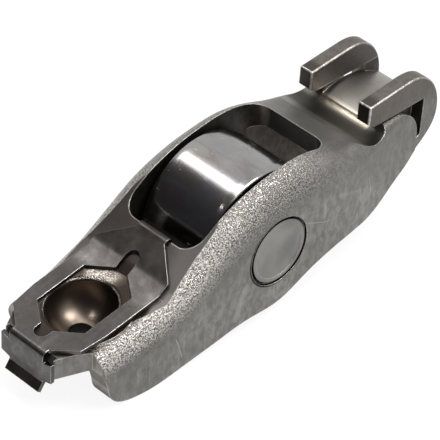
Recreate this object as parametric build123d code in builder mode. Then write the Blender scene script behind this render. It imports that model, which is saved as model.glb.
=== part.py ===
from build123d import *

import os
from math import asin, cos, pi, radians, sin, sqrt, tan

# Roller finger follower (valve train rocker arm), modelled as it lies with its cam side down.
# Frame: origin on the roller axis at mid-width, +X towards the valve end, Y along the axle, +Z up.
# The cam roller and the front lobes of the two side walls touch the ground plane.

os.makedirs("parts", exist_ok=True)

# ---------------------------------------------------------------- driving dimensions (mm)
# pressed steel channel
sheet = 2.4  # blank thickness
body_width = 14.8  # over the side walls at the roller
shoulder_radius = 3.8  # outside bend between web and walls at the roller
valve_end_wall = 2.15  # the walls thin where they are drawn in behind the roller
wall_front_x = -22.7  # front edge of the side walls
lobe_x = -18.4  # lowest point of the walls, level with the roller
lobe_z = -8.0
nose_x = -26.3  # front edge of the web, ahead of the walls
nose_half_width = 3.4
nose_root_half_width = 5.3

# coined seat round the pivot socket, and the ramp from it up to the roller window
seat_bend_x = -14.2
seat_bend_z = 0.35
seat_slope = 9.1  # degrees
seat_thickness = 3.3  # steel gathered under the ball seat, which also keeps the lever on its front lobes
ramp_slope = 34.2  # degrees
seat_bend_radius = 1.5

# roller window in the web
window_front_x = -9.9
window_rear_x = 8.95
window_corner = 2.0
edge_break = 0.5  # bevel where the clip folds over the window edge and the nose

# pivot socket
pivot_x = -19.7
pivot_ball_radius = 3.6
pivot_lift = 0.1  # ball centre above the seat
socket_wall = 2.0
oil_hole_diameter = 2.4
socket_lip = 0.45  # rounding where the bowl meets the seat

# valve pad, and the hooks that guide the valve stem tip
pad_x = 20.0  # crown of the pad
pad_top_z = 5.75
pad_radius = 9.0
pad_end_x = 25.3
stem_gap = 6.4  # between the hooks
hook_thickness = 1.8
hook_height = 2.6  # of the beam over the pad
hook_edge = 0.28  # rounding along its edges
hook_rise = 0.45  # its top climbs this much from tip to corner
hook_tip_x = 14.7
hook_reach_x = 25.3
slot_height = 0.45  # relief between a hook and the cheek under it
slot_foot_z = 1.7
leg_inner_x = 23.0
cheek_end_x = 22.3
cheek_radius = 3.6
valley_x = 15.2  # groove in front of the pad
valley_depth = 1.05  # below the pad's crown

# roller bearing
roller_diameter = 15.5
roller_width = 9.0
roller_edge = 0.5
axle_diameter = 7.2
needle_diameter = 1.5
needle_length = 7.6
running_clearance = 0.03  # radial, needles to axle and needles to roller
needle_gap = 0.015  # least gap between neighbouring needles

# fixed fits
axle_fit = 0.01  # radial, axle in the bores of the walls
stake_diameter = 7.75  # outside of the staking groove round each axle end
stake_depth = 0.35
axle_recess = 0.05  # axle ends lie just inside the wall faces
axle_rim = 0.45  # width of the raised rim on an axle end
axle_rim_step = 0.05

# spring retaining clip
clip_sheet = 0.45
clip_gap = 0.02  # between the clip and the surfaces it lies on
clip_bend = 0.2  # inside radius of its folds
clip_seat_bend = 1.6  # just over the body's, where it lies in the bend
clip_front_half_width = 2.4
clip_chamfer_x = -24.1
clip_half_width = 5.2
clip_shoulder_x = -13.1
clip_rear_half_width = 2.0
keyhole_front_x = -22.3
keyhole_rear_x = -16.2
keyhole_half_width = 3.4
keyhole_bevel = 1.8
keyhole_slot = 1.7
keyhole_slot_front_x = -25.5
keyhole_slot_rear_x = -12.3
ear_width = 7.1  # across the ears under the front fold
ear_top_drop = 0.75
ear_bottom_drop = 2.6
lip_width = 4.75
lip_drop = 4.25
lip_out = 0.7
tail_drop = 1.5

# ---------------------------------------------------------------- sizes worked out from them
half_width = body_width / 2
roller_radius = roller_diameter / 2
needle_circle = axle_diameter / 2 + running_clearance + needle_diameter / 2
roller_bore = 2 * (needle_circle + needle_diameter / 2 + running_clearance)
needle_count = int(pi / asin((needle_diameter + needle_gap) / 2 / needle_circle))
above = 14.0  # clear of everything, for cuts
below = -14.0


def seat_z(x):
    """Height of the coined web surface: the ball seat, then the ramp."""
    slope = seat_slope if x < seat_bend_x else ramp_slope
    return seat_bend_z + (x - seat_bend_x) * tan(radians(slope))


# The outer skin, as stations along X.
skin_stations = [
    # x, half width, crest z, shoulder radius
    (nose_x - 1, half_width - 0.40, -1.50, shoulder_radius),
    (-22.7, half_width - 0.35, -0.75, shoulder_radius),
    (-19.0, half_width - 0.20, -0.05, shoulder_radius),
    (-16.5, half_width - 0.05, 0.65, shoulder_radius - 0.1),
    (-13.5, half_width, 1.50, shoulder_radius - 0.6),
    (-10.2, half_width, 3.30, shoulder_radius - 0.9),
    (-6.5, half_width, 5.70, shoulder_radius - 0.7),
    (-2.9, half_width, 7.30, shoulder_radius - 0.3),
    (0.8, half_width, 8.18, shoulder_radius),
    (4.2, half_width, 8.42, shoulder_radius),
    (7.2, half_width - 0.05, 7.85, shoulder_radius - 0.2),
    (10.0, half_width - 0.35, 6.80, shoulder_radius - 0.8),
    (13.0, half_width - 0.95, 5.98, shoulder_radius - 1.6),
    (16.0, half_width - 1.65, pad_top_z, shoulder_radius - 2.4),
    (19.0, half_width - 2.15, pad_top_z, shoulder_radius - 2.9),
    (cheek_end_x, half_width - 2.40, pad_top_z, shoulder_radius - 3.1),
]
skin_sections = 33  # of the loft through them


def skin(x):
    """Half width, crest height and shoulder radius at x, on a smooth curve through the stations."""
    last = len(skin_stations) - 1
    i = max(k for k in range(last) if skin_stations[k][0] <= x)
    x0 = skin_stations[i][0]
    x1 = skin_stations[i + 1][0]
    t = (x - x0) / (x1 - x0)
    values = []
    for column in (1, 2, 3):
        at = [station[column] for station in skin_stations]
        slopes = []
        for k in (i, i + 1):
            before = max(k - 1, 0)
            after = min(k + 1, last)
            slopes.append((at[after] - at[before]) / (skin_stations[after][0] - skin_stations[before][0]))
        blend = t * t * (3 - 2 * t)
        lean = (t - 1) ** 2 * t * slopes[0] + (t - 1) * t * t * slopes[1]
        values.append(at[i] * (1 - blend) + at[i + 1] * blend + (x1 - x0) * lean)
    return values


# ---------------------------------------------------------------- outer skin: sections lofted along X
skin_front = skin_stations[0][0]
skin_length = skin_stations[-1][0] - skin_front
with BuildPart() as outer_skin:
    for n in range(skin_sections):
        x = skin_front + skin_length * n / (skin_sections - 1)
        w, top, r = skin(x)
        with BuildSketch(Plane.YZ.offset(x)):
            with BuildLine():
                Line((-w, below), (w, below))
                Line((w, below), (w, top - r))
                RadiusArc((w, top - r), (w - r, top), -r)
                Line((w - r, top), (r - w, top))
                RadiusArc((r - w, top), (-w, top - r), -r)
                Line((-w, top - r), (-w, below))
            make_face()
    loft()

# ---------------------------------------------------------------- hollow: the space inside the channel
beyond = 30.0
seat_drop = seat_thickness / cos(radians(seat_slope))
ramp_drop = sheet / cos(radians(ramp_slope))
under_bend_x = seat_bend_x + (ramp_drop - seat_drop) / (tan(radians(ramp_slope)) - tan(radians(seat_slope)))
with BuildPart() as hollow:
    with BuildSketch():
        with BuildLine() as plan_edge:
            walls = [sheet if x < window_rear_x else valve_end_wall for x, _, _, _ in skin_stations]
            wall = Spline([(row[0], row[1] - thick) for row, thick in zip(skin_stations, walls)])
            Polyline(wall @ 1, (beyond, (wall @ 1).Y), (beyond, 0))
            Polyline(wall @ 0, (skin_front, 0))
            mirror(about=Plane.XZ)
        make_face()
    extrude(amount=above, both=True)
    with BuildSketch(Plane.XZ):
        with BuildLine():
            Polyline(
                (skin_front - 1, below),
                (skin_front - 1, seat_z(skin_front - 1) - seat_drop),
                (under_bend_x, seat_z(under_bend_x) - ramp_drop),
                (window_front_x, seat_z(window_front_x) - ramp_drop),
                (window_rear_x, skin(window_rear_x)[1] - sheet),
            )
            Spline(
                (window_rear_x, skin(window_rear_x)[1] - sheet),
                (12.0, 3.9),
                (valley_x, pad_top_z - valley_depth - 1.75),
                (pad_x, pad_top_z - sheet),
            )
            Polyline(
                (pad_x, pad_top_z - sheet),
                (beyond + 1, pad_top_z - sheet),
                (beyond + 1, below),
                (skin_front - 1, below),
            )
        make_face()
    extrude(amount=body_width, both=True, mode=Mode.INTERSECT)

# ---------------------------------------------------------------- body: one pressed channel
pad_centre_z = pad_top_z - pad_radius
pad_root_x = valley_x + 0.8
pad_root_z = pad_centre_z + sqrt(pad_radius**2 - (pad_root_x - pad_x) ** 2)
pad_end_z = pad_centre_z + sqrt(pad_radius**2 - (pad_end_x - pad_x) ** 2)
pad_under_z = pad_centre_z + sqrt((pad_radius - sheet) ** 2 - (pad_end_x - pad_x) ** 2)
hook_mid = (stem_gap + hook_thickness) / 2
hook_under_z = pad_top_z + slot_height
hook_top_z = hook_under_z + hook_height
cheek_foot_z = pad_top_z - cheek_radius
stake_plane = half_width - stake_depth

# one hook: an ear of the side wall, carried round and back over the pad
with BuildPart() as hook:
    with BuildSketch(Plane.XZ.offset(-hook_mid)):
        with BuildLine():
            Polyline((hook_tip_x, hook_under_z + 0.5), (hook_tip_x + 0.1, hook_top_z), (20.2, hook_top_z + hook_rise))
            Spline(
                (20.2, hook_top_z + hook_rise),
                (22.9, hook_top_z),
                (hook_reach_x - 0.75, hook_top_z - 1.65),
                (hook_reach_x, hook_top_z - 4.1),
                (hook_reach_x - 0.65, hook_top_z - 6.8),
                (22.5, 0.0),
                (20.4, -1.75),
                tangents=((1, 0.08), (-1, -0.8)),
            )
            Polyline(
                (20.4, -1.75),
                (20.4, slot_foot_z - 0.9),
                (leg_inner_x - 0.2, slot_foot_z),
                (leg_inner_x, hook_under_z),
                (hook_tip_x + 0.9, hook_under_z),
                (hook_tip_x, hook_under_z + 0.5),
            )
        make_face()
    extrude(amount=hook_thickness / 2, both=True)
    outline = hook.edges().filter_by(lambda edge: edge.center().Z > hook_under_z + hook_edge)
    fillet(outline, hook_edge)

with BuildPart() as body:
    add(outer_skin.part)

    # side view: front lobes on the ground, knee, rise to the valve end
    with BuildSketch(Plane.XZ):
        with BuildLine():
            edge = Spline(
                (wall_front_x + 0.15, -5.0),
                (-21.6, -7.1),
                (lobe_x, lobe_z),
                (-13.2, -7.55),
                (-8.7, -7.03),
                (-4.0, -6.55),
                (0.3, -6.5),
                (3.9, -5.15),
                (6.8, -4.2),
                (11.0, -3.95),
                (15.6, -4.0),
                (18.8, -2.6),
                (21.4, -0.95),
                (cheek_end_x, -0.1),
            )
            Polyline(
                edge @ 1,
                (cheek_end_x, above),
                (nose_x, above),
                (nose_x, seat_z(nose_x) - sheet),
                (wall_front_x - 0.3, seat_z(wall_front_x) - sheet),
                edge @ 0,
            )
        make_face()
    extrude(amount=half_width + 1, both=True, mode=Mode.INTERSECT)
    add(hollow.part, mode=Mode.SUBTRACT)

    # rounded end of each cheek beside the pad
    with BuildSketch(Plane.XZ):
        with BuildLine():
            Line((cheek_end_x - cheek_radius, pad_top_z), (cheek_end_x - cheek_radius, above))
            Line((cheek_end_x - cheek_radius, above), (pad_end_x + 2, above))
            Line((pad_end_x + 2, above), (pad_end_x + 2, cheek_foot_z))
            Line((pad_end_x + 2, cheek_foot_z), (cheek_end_x, cheek_foot_z))
            RadiusArc((cheek_end_x, cheek_foot_z), (cheek_end_x - cheek_radius, pad_top_z), -cheek_radius)
        make_face()
    extrude(amount=half_width + 1, both=True, mode=Mode.SUBTRACT)

    # the web carries on between the hooks as the convex valve pad
    with BuildSketch(Plane.XZ):
        with BuildLine():
            RadiusArc((pad_root_x, pad_root_z), (pad_x, pad_top_z), pad_radius)
            Line((pad_x, pad_top_z), (pad_x, above))
            Line((pad_x, above), (pad_root_x, above))
            Line((pad_root_x, above), (pad_root_x, pad_root_z))
        make_face()
    extrude(amount=stem_gap / 2 + 0.3, both=True, mode=Mode.SUBTRACT)
    with BuildSketch(Plane.XZ):
        with BuildLine():
            RadiusArc((pad_root_x, pad_root_z), (pad_end_x, pad_end_z), pad_radius)
            Line((pad_end_x, pad_end_z), (pad_end_x, pad_under_z))
            RadiusArc((pad_end_x, pad_under_z), (pad_x, pad_top_z - sheet), sheet - pad_radius)
            Line((pad_x, pad_top_z - sheet), (pad_root_x, pad_root_z - sheet / 3))
            Line((pad_root_x, pad_root_z - sheet / 3), (pad_root_x, pad_root_z))
        make_face()
    extrude(amount=stem_gap / 2 + 0.3, both=True)

    # groove in front of the pad, across the web and both shoulders
    with BuildSketch(Plane.XZ):
        with BuildLine():
            groove = Spline(
                (valley_x - 5.0, pad_top_z + 1.25),
                (valley_x - 2.5, pad_top_z + 0.05),
                (valley_x, pad_top_z - valley_depth),
                (valley_x + 1.5, pad_top_z - valley_depth + 0.35),
                (valley_x + 2.0, pad_top_z + 0.3),
            )
            Polyline(groove @ 0, (valley_x - 5.0, above), (valley_x + 2.0, above), groove @ 1)
        make_face()
    extrude(amount=half_width + 1, both=True, mode=Mode.SUBTRACT)

    # hooks at both sides
    add(hook.part)
    add(mirror(hook.part, about=Plane.XZ, mode=Mode.PRIVATE))

    # coined seat and ramp: everything above them ahead of the roller goes
    ramp_end_x = window_front_x + 8
    with BuildSketch(Plane.XZ) as seat_cut:
        with BuildLine():
            Polyline(
                (nose_x - 2, seat_z(nose_x - 2)),
                (seat_bend_x, seat_bend_z),
                (ramp_end_x, seat_z(ramp_end_x)),
                (ramp_end_x, above),
                (nose_x - 2, above),
                close=True,
            )
        make_face()
        bend = seat_cut.vertices().group_by(Axis.X)[1].sort_by(Axis.Y)[0]
        fillet(bend, seat_bend_radius)
    extrude(amount=half_width + 1, both=True, mode=Mode.SUBTRACT)

    # window for the roller
    window_length = window_rear_x - window_front_x
    with BuildSketch():
        with Locations((window_front_x + window_length / 2, 0)):
            RectangleRounded(window_length, 2 * (half_width - sheet), window_corner)
    extrude(amount=above, mode=Mode.SUBTRACT)

    # bevels under the clip's two folds
    for fold_x, inward, reach in (
        (window_front_x, -edge_break, clip_rear_half_width + 0.15),
        (nose_x, edge_break, nose_half_width),
    ):
        with BuildSketch(Plane.XZ):
            with BuildLine():
                Polyline(
                    (fold_x, seat_z(fold_x) - edge_break),
                    (fold_x + inward, seat_z(fold_x + inward)),
                    (fold_x, seat_z(fold_x) + edge_break),
                    close=True,
                )
            make_face()
        extrude(amount=reach, both=True, mode=Mode.SUBTRACT)

    # pivot socket: a dome pressed down from the seat, its bowl and the oil hole
    pivot_z = seat_z(pivot_x) + pivot_lift
    with Locations((pivot_x, 0, pivot_z)):
        Sphere(pivot_ball_radius + socket_wall)
    with BuildSketch(Plane.XZ):
        with BuildLine():
            Polyline(
                (nose_x - 2, seat_z(nose_x - 2)),
                (seat_bend_x, seat_bend_z),
                (seat_bend_x, above),
                (nose_x - 2, above),
                close=True,
            )
        make_face()
    extrude(amount=pivot_ball_radius + socket_wall, both=True, mode=Mode.SUBTRACT)
    with Locations((pivot_x, 0, pivot_z)):
        Sphere(pivot_ball_radius, mode=Mode.SUBTRACT)
    bowl_rim = body.edges().filter_by(GeomType.CIRCLE).sort_by_distance((pivot_x, 0, pivot_z + pivot_ball_radius))[0]
    fillet(bowl_rim, socket_lip)
    with Locations((pivot_x, 0, pivot_z)):
        Cylinder(oil_hole_diameter / 2, 2 * above, mode=Mode.SUBTRACT)

    # plan of the front: the nose tapers ahead of the walls
    for side in (-1, 1):
        with BuildSketch():
            with BuildLine():
                Polyline(
                    (nose_x - 2, side * nose_half_width),
                    (nose_x, side * nose_half_width),
                    (wall_front_x - 0.3, side * nose_root_half_width),
                    (wall_front_x - 0.3, side * (half_width + 1)),
                    (nose_x - 2, side * (half_width + 1)),
                    close=True,
                )
            make_face()
        extrude(amount=above, both=True, mode=Mode.SUBTRACT)

    # bores for the axle, with the staking groove round each end
    with Locations(Location((0, 0, 0), (90, 0, 0))):
        Cylinder(axle_diameter / 2 + axle_fit, 2 * body_width, mode=Mode.SUBTRACT)
    for side in (-1, 1):
        with Locations(Location((0, side * (stake_plane + 1), 0), (90, 0, 0))):
            Cylinder(stake_diameter / 2, 2, mode=Mode.SUBTRACT)

body.part.label = "body"
export_step(body.part, "parts/body.step")

# ---------------------------------------------------------------- roller axle, staked in the walls
axle_length = 2 * (half_width - axle_recess)
with BuildPart() as roller_axle:
    with BuildSketch(Plane.XZ):
        Circle(axle_diameter / 2)
    extrude(amount=axle_length / 2, both=True)
    for side in (-1, 1):
        with BuildSketch(Plane.XZ.offset(side * (axle_length / 2 - axle_rim_step))):
            Circle(axle_diameter / 2 - axle_rim)
        extrude(amount=side * 1.0, mode=Mode.SUBTRACT)
roller_axle.part.label = "roller_axle"
export_step(roller_axle.part, "parts/roller_axle.step")

# ---------------------------------------------------------------- needles, a full complement
for i in range(needle_count):
    angle = 2 * pi * (i + 0.5) / needle_count
    with BuildPart() as needle:
        with BuildSketch(Plane.XZ):
            with Locations((needle_circle * cos(angle), needle_circle * sin(angle))):
                Circle(needle_diameter / 2)
        extrude(amount=needle_length / 2, both=True)
        fillet(needle.edges(), 0.15)
    needle.part.label = f"needle_{i + 1:02d}"
    export_step(needle.part, f"parts/needle_{i + 1:02d}.step")

# ---------------------------------------------------------------- cam roller
with BuildPart() as cam_roller:
    with BuildSketch(Plane.XZ):
        Circle(roller_radius)
        Circle(roller_bore / 2, mode=Mode.SUBTRACT)
    extrude(amount=roller_width / 2, both=True)
    rims = cam_roller.edges().filter_by(GeomType.CIRCLE).group_by(SortBy.RADIUS)
    fillet(rims[-1], roller_edge)
    chamfer(rims[0], 0.25)
cam_roller.part.label = "cam_roller"
export_step(cam_roller.part, "parts/cam_roller.step")

# ---------------------------------------------------------------- spring retaining clip
lift = clip_gap / cos(radians(ramp_slope))


def over_seat(x):
    """Underside of the clip above the coined surface."""
    return seat_z(x) + lift


front_x = nose_x - clip_gap
tail_x = window_front_x + clip_gap
fold_z = over_seat(front_x)
with BuildPart() as retaining_clip:
    with BuildSketch(Plane.XZ):
        with BuildLine():
            inner = FilletPolyline(
                (front_x - lip_out, fold_z - lip_drop),
                (front_x, fold_z - lip_drop + 1.0),
                (front_x, fold_z),
                (seat_bend_x, over_seat(seat_bend_x)),
                (tail_x, over_seat(tail_x)),
                (tail_x, over_seat(tail_x) - tail_drop),
                radius=(clip_bend, clip_bend, clip_seat_bend, clip_bend),
            )
            offset(inner, clip_sheet, side=Side.LEFT, closed=True)
        make_face()
    extrude(amount=clip_half_width + 1, both=True)

    # plan outline of the plate: octagon, narrowing to the rear fold
    plate_front_x = front_x - clip_sheet + 0.8
    with BuildSketch(mode=Mode.PRIVATE) as plate:
        with BuildLine() as plate_edge:
            Polyline(
                (plate_front_x, 0),
                (plate_front_x, clip_front_half_width),
                (front_x + 0.3, clip_front_half_width),
                (clip_chamfer_x, clip_half_width - 0.35),
                (clip_chamfer_x + 3.0, clip_half_width),
                (clip_shoulder_x, clip_half_width),
                (tail_x - clip_sheet - 0.3, clip_rear_half_width),
                (tail_x + 1, clip_rear_half_width),
                (tail_x + 1, 0),
            )
            mirror(about=Plane.XZ)
        make_face()
    with BuildSketch() as plate_waste:
        with Locations((plate_front_x + 10, 0)):
            Rectangle(20, 4 * clip_half_width)
        add(plate.sketch, mode=Mode.SUBTRACT)
    extrude(plate_waste.sketch, amount=above, both=True, mode=Mode.SUBTRACT)

    # keyhole over the socket, with a slot at each end
    with BuildSketch() as keyhole:
        with BuildLine():
            Polyline(
                (keyhole_front_x, keyhole_half_width),
                (keyhole_rear_x, keyhole_half_width),
                (keyhole_rear_x + keyhole_bevel, keyhole_slot / 2),
                (keyhole_rear_x + keyhole_bevel, 0),
                (keyhole_front_x - keyhole_bevel, 0),
                (keyhole_front_x - keyhole_bevel, keyhole_slot / 2),
                close=True,
            )
            mirror(about=Plane.XZ)
        make_face()
        slot_length = keyhole_slot_rear_x - keyhole_slot_front_x
        with Locations((keyhole_slot_front_x + slot_length / 2, 0)):
            SlotOverall(slot_length, keyhole_slot)
    extrude(amount=above, both=True, mode=Mode.SUBTRACT)

    # front tab: neck at the fold, ears below it, narrower lip
    for side in (-1, 1):
        with BuildSketch(Plane.YZ.offset(plate_front_x)):
            with BuildLine():
                Polyline(
                    (side * clip_front_half_width, above),
                    (side * clip_front_half_width, fold_z - ear_top_drop),
                    (side * ear_width / 2, fold_z - ear_top_drop + 0.35),
                    (side * ear_width / 2, fold_z - ear_bottom_drop),
                    (side * lip_width / 2, fold_z - ear_bottom_drop - 0.3),
                    (side * lip_width / 2, below),
                    (side * 2 * clip_half_width, below),
                    (side * 2 * clip_half_width, above),
                    close=True,
                )
            make_face()
        extrude(amount=-4, mode=Mode.SUBTRACT)

retaining_clip.part.label = "retaining_clip"
export_step(retaining_clip.part, "parts/retaining_clip.step")
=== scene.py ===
from math import cos, pi, radians, sin, sqrt
from types import SimpleNamespace

import bpy
import numpy as np
from mathutils import Matrix, Vector


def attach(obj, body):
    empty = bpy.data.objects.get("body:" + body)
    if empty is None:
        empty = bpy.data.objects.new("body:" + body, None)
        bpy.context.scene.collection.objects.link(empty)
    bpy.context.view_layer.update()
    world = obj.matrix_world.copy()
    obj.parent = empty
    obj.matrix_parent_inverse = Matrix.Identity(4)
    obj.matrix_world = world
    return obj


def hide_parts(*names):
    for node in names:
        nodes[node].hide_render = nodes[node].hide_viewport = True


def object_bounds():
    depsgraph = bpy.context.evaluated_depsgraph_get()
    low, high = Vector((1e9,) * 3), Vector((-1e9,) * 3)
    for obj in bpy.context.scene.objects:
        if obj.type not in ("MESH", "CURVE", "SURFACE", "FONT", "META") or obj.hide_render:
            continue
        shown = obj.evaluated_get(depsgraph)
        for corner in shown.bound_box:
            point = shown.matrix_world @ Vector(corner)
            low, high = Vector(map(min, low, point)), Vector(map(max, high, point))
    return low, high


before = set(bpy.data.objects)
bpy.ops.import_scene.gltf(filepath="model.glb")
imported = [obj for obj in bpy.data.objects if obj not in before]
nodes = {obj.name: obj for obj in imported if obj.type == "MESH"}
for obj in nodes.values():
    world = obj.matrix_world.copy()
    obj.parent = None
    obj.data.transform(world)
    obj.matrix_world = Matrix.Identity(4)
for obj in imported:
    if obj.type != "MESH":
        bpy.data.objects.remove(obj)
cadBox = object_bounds()
mm = 0.001
print("frame loaded:", len(nodes), "nodes")


# small helpers for shader trees

def newMaterial(name):
    material = bpy.data.materials.new(name)
    material.use_nodes = True
    tree = material.node_tree
    tree.nodes.clear()
    output = tree.nodes.new("ShaderNodeOutputMaterial")
    shader = tree.nodes.new("ShaderNodeBsdfPrincipled")
    tree.links.new(shader.outputs["BSDF"], output.inputs["Surface"])
    return material, tree, shader


def feed(tree, socket, value):
    # a socket is linked, anything else is set as the input's own value
    if hasattr(value, "is_output"):
        tree.links.new(value, socket)
    else:
        socket.default_value = value


def calc(tree, operation, a, b=0.0, clamp=False):
    node = tree.nodes.new("ShaderNodeMath")
    node.operation = operation
    node.use_clamp = clamp
    feed(tree, node.inputs[0], a)
    feed(tree, node.inputs[1], b)
    return node.outputs[0]


def times(tree, first, *others):
    product = first
    for factor in others:
        product = calc(tree, "MULTIPLY", product, factor)
    return product


def plus(tree, a, b):
    return calc(tree, "ADD", a, b)


def minus(tree, a, b):
    return calc(tree, "SUBTRACT", a, b)


def larger(tree, a, b):
    return calc(tree, "MAXIMUM", a, b)


def without(tree, mask, share=1.0):
    # 1 where the mask is 0, and 1 - share where it is full
    return minus(tree, 1.0, times(tree, mask, share))


def planRadius(tree, a, b):
    return calc(tree, "SQRT", plus(tree, times(tree, a, a), times(tree, b, b)))


def ramp(tree, value, low, high, toLow=0.0, toHigh=1.0):
    # value from low..high goes smoothly to toLow..toHigh
    node = tree.nodes.new("ShaderNodeMapRange")
    node.interpolation_type = "SMOOTHSTEP"
    feed(tree, node.inputs["Value"], value)
    for name, setting in (("From Min", low), ("From Max", high), ("To Min", toLow), ("To Max", toHigh)):
        feed(tree, node.inputs[name], setting)
    return node.outputs["Result"]


def band(tree, value, start, end, soft):
    # 1 between start and end, fading over soft on both sides
    return times(tree, ramp(tree, value, start - soft, start), ramp(tree, value, end + soft, end))


def turnedTo(tree, share, low=0.5, high=0.8):
    # 1 on faces that look along an axis, by the normal's share along it
    return ramp(tree, share, low, high)


def turnedFrom(tree, share, low=0.5, high=0.8):
    # the same, against the axis
    return ramp(tree, share, -low, -high)


def mixColour(tree, factor, a, b):
    node = tree.nodes.new("ShaderNodeMix")
    node.data_type = "RGBA"
    feed(tree, node.inputs["Factor"], factor)
    feed(tree, node.inputs["A"], a)
    feed(tree, node.inputs["B"], b)
    return node.outputs["Result"]


def mixValue(tree, factor, a, b):
    node = tree.nodes.new("ShaderNodeMix")
    node.data_type = "FLOAT"
    feed(tree, node.inputs["Factor"], factor)
    feed(tree, node.inputs["A"], a)
    feed(tree, node.inputs["B"], b)
    return node.outputs["Result"]


def noise(tree, vector, scale, detail=2.0, roughness=0.5, distortion=0.0):
    node = tree.nodes.new("ShaderNodeTexNoise")
    feed(tree, node.inputs["Vector"], vector)
    feed(tree, node.inputs["Scale"], scale)
    feed(tree, node.inputs["Detail"], detail)
    feed(tree, node.inputs["Roughness"], roughness)
    feed(tree, node.inputs["Distortion"], distortion)
    return node.outputs["Fac"]


def mapped(tree, vector, location=(0, 0, 0), rotation=(0, 0, 0), scale=(1, 1, 1)):
    node = tree.nodes.new("ShaderNodeMapping")
    feed(tree, node.inputs["Vector"], vector)
    feed(tree, node.inputs["Location"], location)
    feed(tree, node.inputs["Rotation"], rotation)
    feed(tree, node.inputs["Scale"], scale)
    return node.outputs["Vector"]


def vectorMath(tree, operation, a, b=None):
    node = tree.nodes.new("ShaderNodeVectorMath")
    node.operation = operation
    feed(tree, node.inputs[0], a)
    if b is not None:
        feed(tree, node.inputs[1], b)
    return node.outputs


def joinVector(tree, **parts):
    node = tree.nodes.new("ShaderNodeCombineXYZ")
    for axis, value in parts.items():
        feed(tree, node.inputs[axis], value)
    return node.outputs[0]


def splitVector(tree, vector):
    node = tree.nodes.new("ShaderNodeSeparateXYZ")
    feed(tree, node.inputs[0], vector)
    return node.outputs


def objectPlace(tree):
    return tree.nodes.new("ShaderNodeTexCoord").outputs["Object"]


def faceNormal(tree):
    return tree.nodes.new("ShaderNodeNewGeometry").outputs["Normal"]


def finishSteel(tree, shader, base, rough, height, normal):
    # bare metal: the height is in metres and stands on the given normal
    bump = tree.nodes.new("ShaderNodeBump")
    bump.inputs["Distance"].default_value = 1.0
    bump.inputs["Strength"].default_value = 1.0
    feed(tree, bump.inputs["Height"], height)
    if normal is not None:
        feed(tree, bump.inputs["Normal"], normal)
    feed(tree, shader.inputs["Normal"], bump.outputs["Normal"])
    feed(tree, shader.inputs["Base Color"], base)
    feed(tree, shader.inputs["Roughness"], rough)
    shader.inputs["Metallic"].default_value = 1.0


def newGroup(name, inputs, outputs):
    # inputs and outputs are (name, socket type, starting value) and (name, socket type)
    group = bpy.data.node_groups.new(name, "ShaderNodeTree")
    for label, kind, start in inputs:
        socket = group.interface.new_socket(name=label, in_out="INPUT", socket_type=kind)
        socket.default_value = start
    for label, kind in outputs:
        group.interface.new_socket(name=label, in_out="OUTPUT", socket_type=kind)
    return group, group.nodes.new("NodeGroupInput"), group.nodes.new("NodeGroupOutput")


def useGroup(tree, group, **values):
    node = tree.nodes.new("ShaderNodeGroup")
    node.node_tree = group
    for label, value in values.items():
        feed(tree, node.inputs[label], value)
    return node.outputs


# shared effects, each a node group with its settings above it

grainShape = dict(
    coarse=(2.0, 0.55, 0.3),        # noise detail, roughness and distortion
    fine=(1.0, 0.5),
    fineness=2.3,                   # how many times smaller the second size of pit is
    fineShift=(0.31, 0.17, 0.07),   # so that the two sizes do not line up
    coarseShare=0.72,
    fineShare=0.28,
    pits=(0.36, 0.64),              # noise values at the foot and the brim of a pit
)


def buildPressGrain():
    # peened skin of hot-pressed steel: rounded pits at two sizes, as a height in metres and a speckle mask
    s = grainShape
    group, given, result = newGroup(
        "pressGrain",
        [
            ("Size", "NodeSocketFloat", 0.0004),
            ("Depth", "NodeSocketFloat", 0.00003),
            ("Amount", "NodeSocketFloat", 1.0),
        ],
        [("Height", "NodeSocketFloat"), ("Speckle", "NodeSocketFloat")],
    )
    place = objectPlace(group)
    scale = calc(group, "DIVIDE", 1.0, given.outputs["Size"])
    coarse = noise(group, place, scale, *s["coarse"])
    shifted = mapped(group, place, location=s["fineShift"])
    fine = noise(group, shifted, times(group, scale, s["fineness"]), *s["fine"])
    bumps = plus(group, times(group, coarse, s["coarseShare"]), times(group, fine, s["fineShare"]))
    shaped = ramp(group, bumps, *s["pits"])
    height = times(group, shaped, given.outputs["Depth"], given.outputs["Amount"])
    group.links.new(height, result.inputs["Height"])
    group.links.new(times(group, shaped, given.outputs["Amount"]), result.inputs["Speckle"])
    return group


wearShape = dict(
    samples=6,
    worn=(0.015, 0.16),             # turn of the bevelled normal, as 1 - cosine, over which an edge wears
    crease=(0.0008, 0.010),         # the same for a crease, which turns far less
    breakScale=1800.0,
    breaks=(0.25, 0.6, 0.45, 1.0),  # noise values, and the share of wear left at each
)


def buildEdgeWear():
    # a bevelled normal turns away from the true one near an edge, which gives the bright line there: wear,
    # and a painted highlight along the edge
    s = wearShape
    group, given, result = newGroup(
        "edgeWear",
        [("Width", "NodeSocketFloat", 0.0002), ("Strength", "NodeSocketFloat", 1.0)],
        [("Edge", "NodeSocketFloat"), ("Crease", "NodeSocketFloat"), ("Normal", "NodeSocketVector")],
    )
    bevel = group.nodes.new("ShaderNodeBevel")
    bevel.samples = s["samples"]
    feed(group, bevel.inputs["Radius"], given.outputs["Width"])
    dot = vectorMath(group, "DOT_PRODUCT", bevel.outputs["Normal"], faceNormal(group))
    turned = calc(group, "SUBTRACT", 1.0, dot["Value"], clamp=True)
    broken = noise(group, objectPlace(group), s["breakScale"], 3.0, 0.6)
    edge = times(group, ramp(group, turned, *s["worn"]), ramp(group, broken, *s["breaks"]))
    group.links.new(times(group, edge, given.outputs["Strength"]), result.inputs["Edge"])
    group.links.new(ramp(group, turned, *s["crease"]), result.inputs["Crease"])
    group.links.new(bevel.outputs["Normal"], result.inputs["Normal"])
    return group


filmShape = dict(
    cloud=(0.3, 0.7),               # noise values at which a cloud starts and is full
    marks=(0.56, 0.72),
    marksFineness=5.0,              # marks are this many times smaller than clouds
)


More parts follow.
